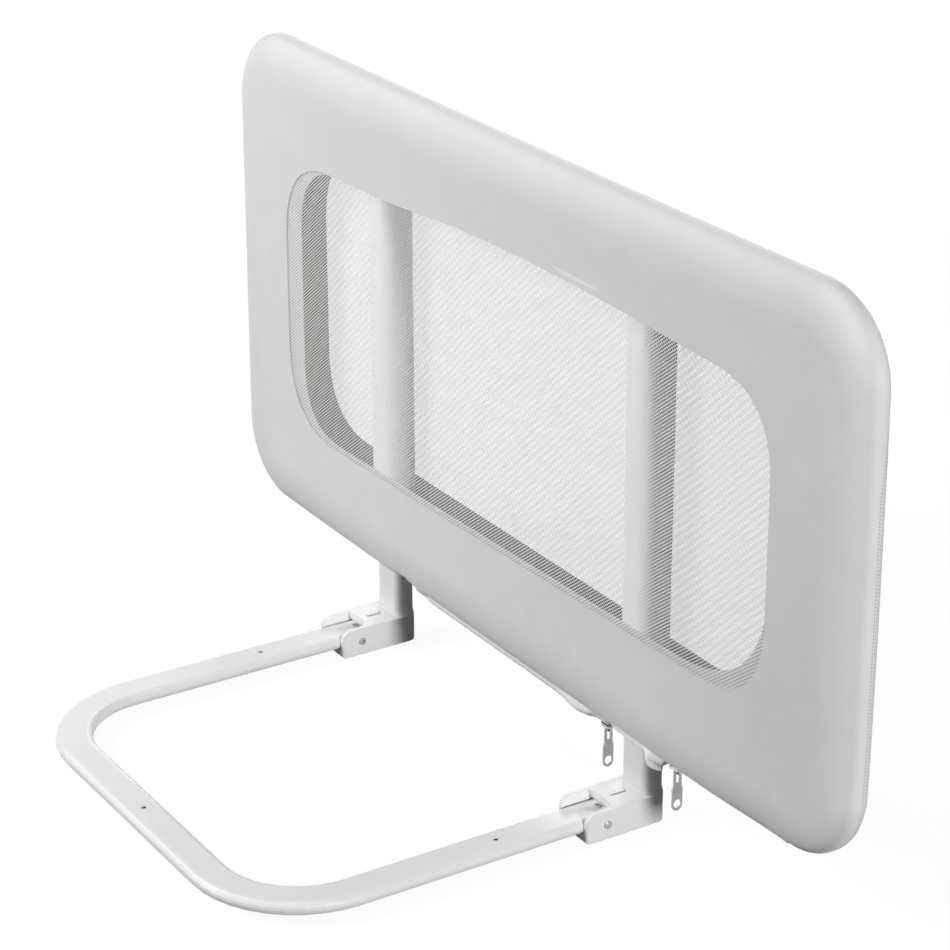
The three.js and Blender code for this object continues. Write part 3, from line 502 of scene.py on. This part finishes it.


# The cover cloth carries painted shade in its rows of needle holes
CLOTH = cloth_look("cover_cloth", 210, shade_needle_holes=True)
LINING = cloth_look("cover_lining", 200)
# Painted shade: the lining's inner face is dark grey to stand for the shade inside the cover,
# seen through the front net
LINING_INSIDE_PAINTED_SHADE = cloth_look("lining_inside_painted_shade", 86, sheen=0.02)
FACING_CLOTH = cloth_look("facing_cloth", 194, sheen=0.05)
TAPE = cloth_look("zip_tape_cloth", 240, pitch=0.0016)
NET_FRONT = net_look("front_net", 252, 0.0045, 0.00338, 0.0012, sheen=0.5)
# Painted shade: the back net is greyer than the front net to stand for the shade it lies in
# behind the panel
NET_BACK_PAINTED_SHADE = net_look("back_net", 214, 0.003, 0.00245, 0.0008, warp=0.004, skew=0.02)
FOAM = foam_look("foam", 233)
NYLON = moulded_look("zip_nylon", 224)
INNER_STEEL = paint_look("frame_coat", 205, 0.42)
STEEL = steel_look("bright_steel", 176)
CAD_LOOKS = {
    "base_tube": paint_look("white_powder_coat", 211, 0.42),
    "post_left": INNER_STEEL,
    "post_right": INNER_STEEL,
    "frame_hoop": INNER_STEEL,
    "lower_rail": INNER_STEEL,
    "hinge_bracket": moulded_look("bracket_plastic", 217),
    "tube_plug": moulded_look("plug_plastic", 92),
    "pivot_rivet": STEEL,
    "plug_screw": STEEL,
    "zip_slider": steel_look("slider_nickel", 182, 0.2),
    "zip_pull": steel_look("pull_metal", 178, 0.62, 0.05),
}

# Angles from which an edge is sharp: on the hard parts, the foam and the tapes
CAD_CREASE, FOAM_CREASE, TAPE_CREASE = (math.radians(degrees) for degrees in (38, 60, 50))

for name, node in nodes.items():
    for start, look in CAD_LOOKS.items():
        if name.startswith(start):
            node.data.materials.clear()
            node.data.materials.append(look)
            node.data.shade_smooth()
            node.data.set_sharp_from_angle(angle=CAD_CREASE)

# Front cover
CLOTH_THICKNESS = 0.7
HEM_SHARE = 0.2
HEM_ROWS = 2
LEG_HOLE = 19

# The dip in the window's upper edge: its x, width and depth, and a height that only it lies above
DIP_AT, DIP_WIDTH, DIP_DEPTH = -190, 85, 4.0
UPPER_EDGE_FROM = 400

window = even(soft_outline(WINDOW), OUTLINE_POINTS)
dip = DIP_DEPTH * hump(window[:, 0], DIP_AT, DIP_WIDTH)
window[:, 1] -= np.where(window[:, 1] > UPPER_EDGE_FROM, dip, 0)
back_window = even(soft_outline(BACK_WINDOW), OUTLINE_POINTS)
open_spans = [ZIP_SPAN, *((x - LEG_HOLE, x + LEG_HOLE) for x in LEG_X)]

grid = shell(window, HALF_DEPTH, 1, SEAM_Y)
faces = [face[::-1] for face in open_bottom(grid, open_spans)]
cover = mesh_piece("front_cover", grid.reshape(-1, 3), faces, "panel", CLOTH)
crisp_edges(cover)
thick = solidify(cover, CLOTH_THICKNESS)
full = cover.vertex_groups.new(name="full")
full.add(list(range(HEM_ROWS * grid.shape[1], len(cover.data.vertices))), 1.0, "REPLACE")
thick.vertex_group = "full"
thick.thickness_vertex_group = HEM_SHARE
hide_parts("cover_front")

# Back lining
LINING_GAP, LINING_LAP = 0.6, 0.4
end = LINING_LAP - SEAM_Y
grid = shell(back_window, HALF_DEPTH - LINING_GAP, -1, end, inset_end=LINING_GAP)
faces = open_bottom(grid, open_spans)
lining = mesh_piece("back_lining", grid.reshape(-1, 3), faces, "panel", LINING)
lining.data.materials.append(LINING_INSIDE_PAINTED_SHADE)
crisp_edges(lining)
# The inside of the lining takes the dark painted-shade cloth
backing = solidify(lining, CLOTH_THICKNESS)
backing.material_offset = 1
backing.material_offset_rim = 1
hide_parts("cover_back")

# Back net, which covers the whole back, so that its rows start close to the middle
CORE_SHARE = 0.02
near_middle = back_window * CORE_SHARE + CENTRE * (1 - CORE_SHARE)
grid = shell(near_middle, HALF_DEPTH, -1, -SEAM_Y, flat_rows=26, sunk=0.0)
faces = open_bottom(grid, open_spans)
faces.append(tuple(range(grid.shape[1]))[::-1])
back_net = mesh_piece("back_net", grid.reshape(-1, 3), faces, "panel", NET_BACK_PAINTED_SHADE)
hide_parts("mesh_back")

# Front net
NET_Y, NET_WAVE = -18.75, 0.2
NET_MARGIN, NET_POINTS, NET_ROWS = 8, 320, 14
edge = grown(even(window, NET_POINTS), NET_MARGIN)
rows = []
for k in range(NET_ROWS):
    t = 1 - k / NET_ROWS
    plan = CENTRE + (edge - CENTRE) * t
    waves = [NET_WAVE * noise.noise(Vector((x / 120, z / 90, 4))) for x, z in plan]
    y = [NET_Y + wave * (1 - t) for wave in waves]
    rows.append(np.stack((plan[:, 0], y, plan[:, 1]), 1))
faces = strip_faces(NET_ROWS, NET_POINTS) + end_faces(NET_ROWS, NET_POINTS)[1:]
front_net = mesh_piece("front_net", np.reshape(rows, (-1, 3)), faces, "panel", NET_FRONT)
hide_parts("mesh_front")

# Window facing, in rows given by their share of its width and their y
FACING_THICKNESS = 0.35
FACING_ROWS = ((0, -17.45), (0.5, -17.4), (0.85, -17.35), (0.95, -17.3), (1.0, -17.1))
inner = on_rays(even(soft_outline(FACING), OUTLINE_POINTS), edge)
rows = []
for t, y in FACING_ROWS:
    plan = edge + (inner - edge) * t
    rows.append(np.stack((plan[:, 0], np.full(NET_POINTS, y), plan[:, 1]), 1))
faces = strip_faces(len(rows), NET_POINTS)
facing = mesh_piece("facing_band", np.reshape(rows, (-1, 3)), faces, "panel", FACING_CLOTH)
crisp_edges(facing)
solidify(facing, FACING_THICKNESS)
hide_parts("window_facing")

# Foam sleeves
POST_LOW, POST_HIGH = 125.4, 521.6
POST_SLEEVE = (47.8, 33.4)
FRAME_SLEEVE = (43, 28)
SLEEVE_END_SHARES = (0.86, 0.95, 0.985)
SLEEVE_SWELL = 0.01
TUBE_INSET = 26.2
TUBE_BEND = 50.3
END_GAP = 1


def oval(width, depth, steps=14):
    """A flat oval section."""
    r = depth / 2
    flat = width / 2 - r
    points = []
    for k in range(2 * steps):
        a = -math.pi / 2 + math.pi * 2 * k / (2 * steps)
        side = 1 if k < steps else -1
        b = a + math.pi / (2 * steps)
        points.append((side * flat + r * math.cos(b), r * math.sin(b)))
    return np.array(points)


def sleeve(name, path, normals, size, node):
    """A closed foam sleeve along a path in the panel's plane, with rounded ends."""
    section = oval(*size)
    rows = []
    total, count = len(path), len(section)
    for i, (at, out) in enumerate(zip(path, normals)):
        near = min(i, total - 1 - i)
        share = SLEEVE_END_SHARES[near] if near < len(SLEEVE_END_SHARES) else 1.0
        for u, v in section * share:
            x, z = at + out * u
            swell = 1 + SLEEVE_SWELL * noise.noise(Vector((x / 40, v / 9, z / 40)))
            rows.append((at[0] + out[0] * u * swell, v * swell, at[1] + out[1] * u * swell))
    faces = strip_faces(total, count) + end_faces(total, count)
    obj = mesh_piece(name, rows, faces, "panel", FOAM)
    obj.data.set_sharp_from_angle(angle=FOAM_CREASE)
    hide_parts(node)


def straight(a, b, steps=40):
    """A straight path and its normals."""
    t = np.linspace(0, 1, steps)[:, None]
    path = np.array(a, float) + (np.array(b, float) - np.array(a, float)) * t
    way = (path[-1] - path[0]) / np.linalg.norm(path[-1] - path[0])
    return path, np.repeat([[way[1], -way[0]]], steps, 0)


def round_end(side, back):
    """The frame tube's path round one end, from its lower to its upper run, and its normals."""
    axis_x = side * (HALF_LENGTH - TUBE_INSET)
    turn_x = axis_x - side * TUBE_BEND
    low, high = LOW_Z + TUBE_INSET, HIGH_Z - TUBE_INSET
    steps = [((x, low), (0, -1)) for x in np.linspace(back, turn_x, 8)[:-1]]
    for a in np.linspace(0, math.pi / 2, 12):
        n = np.array((side * math.sin(a), -math.cos(a)))
        steps.append((np.array((turn_x, low + TUBE_BEND)) + TUBE_BEND * n, n))
    for z in np.linspace(low + TUBE_BEND, high - TUBE_BEND, 24)[1:-1]:
        steps.append(((axis_x, z), (side, 0)))
    for a in np.linspace(math.pi / 2, 0, 12):
        n = np.array((side * math.sin(a), math.cos(a)))
        steps.append((np.array((turn_x, high - TUBE_BEND)) + TUBE_BEND * n, n))
    steps += [((x, high), (0, 1)) for x in np.linspace(turn_x, back, 8)[1:]]
    path, out = zip(*steps)
    return np.array(path, float), np.array(out, float)


for x, side in zip(LEG_X, ("left", "right")):
    path, out = straight((x, POST_LOW), (x, POST_HIGH))
    sleeve(f"post_sleeve_{side}", path, out, POST_SLEEVE, f"post_pad_{side}")

for name in ("end_pad_left", "end_pad_right", "top_pad", "lower_pad"):
    (x0, _, z0), (x1, _, z1) = (np.array(corner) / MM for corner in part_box(name))
    if name in ("top_pad", "lower_pad"):
        z = (z0 + z1) / 2
        path, out = straight((x0 + END_GAP, z), (x1 - END_GAP, z), 90)
    elif name == "end_pad_left":
        path, out = round_end(-1, x1 - END_GAP)
    else:
        path, out = round_end(1, x0 + END_GAP)
    sleeve(name.replace("pad", "sleeve"), path, out, FRAME_SLEEVE, name)

# Zip tapes. Half gap and upper reach are those of a closed tape, and of one parted at the leg
TAPE_GAP, TAPE_REACH = (3.1, 11.1), (9.4, 12.2)
TAPE_THICKNESS = 0.95
TAPE_OVERRUN = 5
TAPE_ABOVE_COIL, TAPE_UNDER_EDGE, TAPE_LAP = 1.1, 0.1, 2.0
TAPE_BOW, TAPE_WAVE = 0.25, 0.25
PARTED_FROM, PARTING_RUN = 24, 22

# Stretches of the front tape, each by the ramps at its ends as x and run
TUCKED_LEFT = [(-152, -12)]
TUCKED_RIGHT = [(156, 4), (229, -7)]
LOOSE = [(-160, 16), (143, -12)]
FREE = [(224, 7), (252, -6)]
TUCK_LIFT = 4.8
RIGHT_FROM, RIGHT_LIFT = 250, 1.6
FOLD_AT, FOLD_WIDTH, FREE_FOLD = 110, 20, 0.6
LOOSE_TOOTH_PITCH, LOOSE_TOOTH_HEIGHT = 2.55, 0.45


def on_edge(y):
    """Height of the panel's rounded underside at a distance from the mid-plane."""
    return LOW_Z + HALF_DEPTH - math.sqrt(HALF_DEPTH ** 2 - y ** 2)


def risen(x):
    """How far the cover's underside is drawn up near its right end."""
    return 3.4 * hump(x, 412, 66)


def zip_line(x):
    """Half gap, height and upper reach of a tape at x: closed, or parted round the leg."""
    t = ramp(abs(x - LEG_X[1]), PARTED_FROM, PARTING_RUN)
    t = t * t * (3 - 2 * t)
    side = MIDDLE_Z if x < LEG_X[1] else RIGHT_Z
    between = (MIDDLE_Z + RIGHT_Z) / 2
    gap, reach = (parted + (closed - parted) * t for closed, parted in (TAPE_GAP, TAPE_REACH))
    return gap, between + (side - between) * t + risen(x), reach


def within(x, stretch):
    """1 inside a stretch, falling to 0 over the ramps at its ends."""
    return math.prod(ramp(x, start, run) for start, run in stretch)


def front_drape(x):
    """Of the front tape: how loose it hangs, how folded, how free its end is, and its lift."""
    tucked = max(within(x, TUCKED_LEFT), within(x, TUCKED_RIGHT))
    free = within(x, FREE)
    loose = max(within(x, LOOSE), free)
    fold = max(hump(x, FOLD_AT, FOLD_WIDTH), FREE_FOLD * free)
    lift = TUCK_LIFT * tucked if x < RIGHT_FROM else RIGHT_LIFT
    return loose, fold, free, lift


def tape_section(x, side):
    """Points round a tape at x, each with its x, distance from the mid-plane and height."""
    low, z, high = zip_line(x)
    loose, fold, free, lift = front_drape(x) if side < 0 else (0.0, 0.0, 0.0, 0.0)
    wave = TAPE_WAVE * noise.noise(Vector((x / 14, side * 3, 2.2)))
    teeth = LOOSE_TOOTH_HEIGHT * free * math.sin(2 * math.pi * x / LOOSE_TOOTH_PITCH)
    a = np.array((low, z + TAPE_ABOVE_COIL + lift))
    b = np.array((high, on_edge(high) - TAPE_UNDER_EDGE + risen(x)))
    lap = high + TAPE_LAP
    n = np.array((b - a)[::-1] * (1, -1)) / np.linalg.norm(b - a)
    section = []
    for t in np.linspace(0, 1, 17):
        arch = math.sin(math.pi * t)
        bow = TAPE_BOW * arch
        bow += loose * ((0.5 + 1.9 * fold) * arch + 0.75 * abs(math.sin(2 * math.pi * t)))
        if 0.15 < t < 0.4:
            bow += teeth
        sag = np.array((0.0, -(2.6 + 2.6 * fold) * arch * loose))
        section.append(a + (b - a) * t + n * (TAPE_THICKNESS + bow + wave * arch) + sag)
    section.append(np.array((lap, on_edge(lap) - TAPE_UNDER_EDGE + risen(x))))
    section.append(b)
    section.extend(a + (b - a) * t for t in np.linspace(1, 0, 5)[1:])
    return [(x, side * away, up) for away, up in section]


for side, word in ((-1, "front"), (1, "rear")):
    span = np.arange(ZIP_SPAN[0] - TAPE_OVERRUN, ZIP_SPAN[1] + TAPE_OVERRUN, TAPE_STEP)
    grid = np.array([tape_section(x, side) for x in span])
    total, count = grid.shape[:2]
    faces = strip_faces(total, count) + [face[::-1] for face in end_faces(total, count)]
    if side < 0:
        faces = [face[::-1] for face in faces]
    tape = mesh_piece(f"zip_tape_{word}_cloth", grid.reshape(-1, 3), faces, "panel", TAPE)
    tape.data.set_sharp_from_angle(angle=TAPE_CREASE)
    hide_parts(f"zip_tape_{word}")


def coil(name, x0, x1, z, node):
    """Closed zip chain: two rows of teeth that alternate from side to side."""
    section = oval(COIL_WIDTH, COIL_HEIGHT, 8)
    points = []
    span = np.arange(x0, x1, COIL_STEP)
    for x in span:
        for u, v in section:
            phase = x / TOOTH_PITCH + (0.25 if u > 0 else -0.25)
            tooth = math.sin(2 * math.pi * phase)
            wide, high = 0.96 + 0.04 * tooth, 0.86 + 0.14 * tooth
            points.append((x, u * wide, z + risen(x) + v * high))
    faces = strip_faces(len(span), len(section)) + end_faces(len(span), len(section))
    obj = mesh_piece(name, points, faces, "panel", NYLON)
    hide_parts(node)


coil("zip_coil_middle", ZIP_SPAN[0], MIDDLE_END, MIDDLE_Z, "zip_chain_middle")
coil("zip_coil_right", RIGHT_START, ZIP_SPAN[1], RIGHT_Z, "zip_chain_right")

# Tab beside the right leg, curving back to its right and leaning forward to its top
TAB_LOW, TAB_HIGH, TAB_WIDTH, TAB_THICKNESS = 58.2, 78.2, 19.0, 1.2
TAB_ROWS, TAB_COLUMNS = 20, 17
TAB_X, TAB_Y = 17.3, -9.2
TAB_TURN = math.radians(6)
TAB_BEND = math.radians(18) / TAB_WIDTH
TAB_LEAN, TAB_LEAN_FROM = 0.06, 62
INNER_CORNER, OUTER_CORNER = 7, 4


def round_off(z, radius):
    """How far a rounded lower corner lies inside the tab's side at a height."""
    if z >= TAB_LOW + radius:
        return 0.0
    return radius - radius * math.sqrt(max(0.0, 1 - ((TAB_LOW + radius - z) / radius) ** 2))


rows = []
for z in np.linspace(TAB_LOW, TAB_HIGH, TAB_ROWS):
    inner_end, outer_end = round_off(z, INNER_CORNER), TAB_WIDTH - round_off(z, OUTER_CORNER)
    for run in np.linspace(inner_end, outer_end, TAB_COLUMNS):
        angle = TAB_TURN + TAB_BEND * run
        x = LEG_X[1] + TAB_X + (math.sin(angle) - math.sin(TAB_TURN)) / TAB_BEND
        y = TAB_Y + (math.cos(TAB_TURN) - math.cos(angle)) / TAB_BEND
        rows.append((x, y - TAB_LEAN * (z - TAB_LEAN_FROM), z))
faces = strip_faces(TAB_ROWS, TAB_COLUMNS, looped=False)
tab = mesh_piece("leg_tab_cloth", rows, faces, "panel", TAPE)
solidify(tab, TAB_THICKNESS, 0.0)
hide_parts("leg_tab_right")

# Floor and world: white where they are seen, straight, mirrored or through something, and
# darker as sources of light
FLOOR_HALF, FLOOR_DROP = 30, 0.0005
FLOOR_WHITE_SHARE, FLOOR_GLOW = 0.9, 1.03
FLOOR_AS_SOURCE, FLOOR_TO_CAMERA = 0.12, 0.9
WORLD_AS_SOURCE, WORLD_SEEN = 0.06, 1.0


def rays(tree, first, *others):
    """1 on rays of the given kinds, and 0 on any other."""
    path = tree.nodes.new("ShaderNodeLightPath")
    found = path.outputs[f"Is {first} Ray"]
    for kind in others:
        either = tree.nodes.new("ShaderNodeMath")
        either.operation = "MAXIMUM"
        tree.links.new(found, either.inputs[0])
        tree.links.new(path.outputs[f"Is {kind} Ray"], either.inputs[1])
        found = either.outputs[0]
    return found


def graded(tree, factor, low, high):
    """A value that goes from low to high with the factor."""
    made = tree.nodes.new("ShaderNodeMapRange")
    made.inputs["To Min"].default_value = low
    made.inputs["To Max"].default_value = high
    tree.links.new(factor, made.inputs["Value"])
    return made.outputs["Result"]


corners = [(x * FLOOR_HALF, y * FLOOR_HALF, 0) for x, y in ((-1, -1), (1, -1), (1, 1), (-1, 1))]
floor_data = bpy.data.meshes.new("floor")
floor_data.from_pydata(corners, [], [(0, 1, 2, 3)])
floor = bpy.data.objects.new("floor", floor_data)
bpy.context.collection.objects.link(floor)
floor.location.z = -FLOOR_DROP
paper = bpy.data.materials.new("paper")
paper.use_nodes = True
tree = paper.node_tree
tree.nodes.clear()
white = tree.nodes.new("ShaderNodeEmission")
white.inputs["Strength"].default_value = FLOOR_GLOW
matt = tree.nodes.new("ShaderNodeBsdfDiffuse")
level = graded(tree, rays(tree, "Camera"), FLOOR_AS_SOURCE, FLOOR_TO_CAMERA)
tree.links.new(level, matt.inputs["Color"])
blend = tree.nodes.new("ShaderNodeMixShader")
share = graded(tree, rays(tree, "Camera", "Glossy", "Transmission"), 0.0, FLOOR_WHITE_SHARE)
tree.links.new(share, blend.inputs[0])
tree.links.new(matt.outputs[0], blend.inputs[1])
tree.links.new(white.outputs[0], blend.inputs[2])
surface = tree.nodes.new("ShaderNodeOutputMaterial")
tree.links.new(blend.outputs[0], surface.inputs["Surface"])
floor_data.materials.append(paper)

world = bpy.data.worlds.new("studio")
bpy.context.scene.world = world
world.use_nodes = True
tree = world.node_tree
sky = tree.nodes["Background"]
sky.inputs["Color"].default_value = (1, 1, 1, 1)
seen = rays(tree, "Camera", "Transmission", "Glossy")
tree.links.new(graded(tree, seen, WORLD_AS_SOURCE, WORLD_SEEN), sky.inputs["Strength"])


def lamp(name, place, aim, size, power):
    data = bpy.data.lights.new(name, "AREA")
    data.shape = "RECTANGLE"
    data.size, data.size_y = size
    data.energy = power
    obj = bpy.data.objects.new(name, data)
    bpy.context.collection.objects.link(obj)
    obj.location = place
    obj.rotation_euler = (Vector(aim) - Vector(place)).to_track_quat("-Z", "Y").to_euler()


# Lamps: place, aim and size in metres, and power
lamp("key", (-1.75, -2.35, 1.95), (-0.05, 0.1, 0.3), (1.5, 1.5), 126)
lamp("side", (7.5, 0.0, 2.5), (0.3, 0.1, 0.2), (0.5, 0.9), 530)
lamp("top", (0.9, -1.3, 2.9), (0.3, 0.1, 0.4), (2.0, 2.0), 10)
lamp("rear", (-3.4, 3.2, 1.3), (0.0, 0.2, 0.4), (1.6, 0.9), 125)

# Camera, solved on the photograph
camera_data = bpy.data.cameras.new("camera")
camera_data.sensor_width = 36.0
camera_data.lens = 111.84
camera = bpy.data.objects.new("camera", camera_data)
bpy.context.collection.objects.link(camera)
back_way = Vector((0.77705, -0.48964, 0.39553)).normalized()
right_way = Vector((0.53380, 0.84561, -0.00188)).normalized()
up_way = back_way.cross(right_way).normalized()
right_way = up_way.cross(back_way).normalized()
turn = Matrix((right_way, up_way, back_way)).transposed().to_4x4()
camera.matrix_world = Matrix.Translation((2.0785, -1.16315, 1.3228)) @ turn
bpy.context.scene.camera = camera
bpy.context.scene.view_settings.view_transform = "Standard"
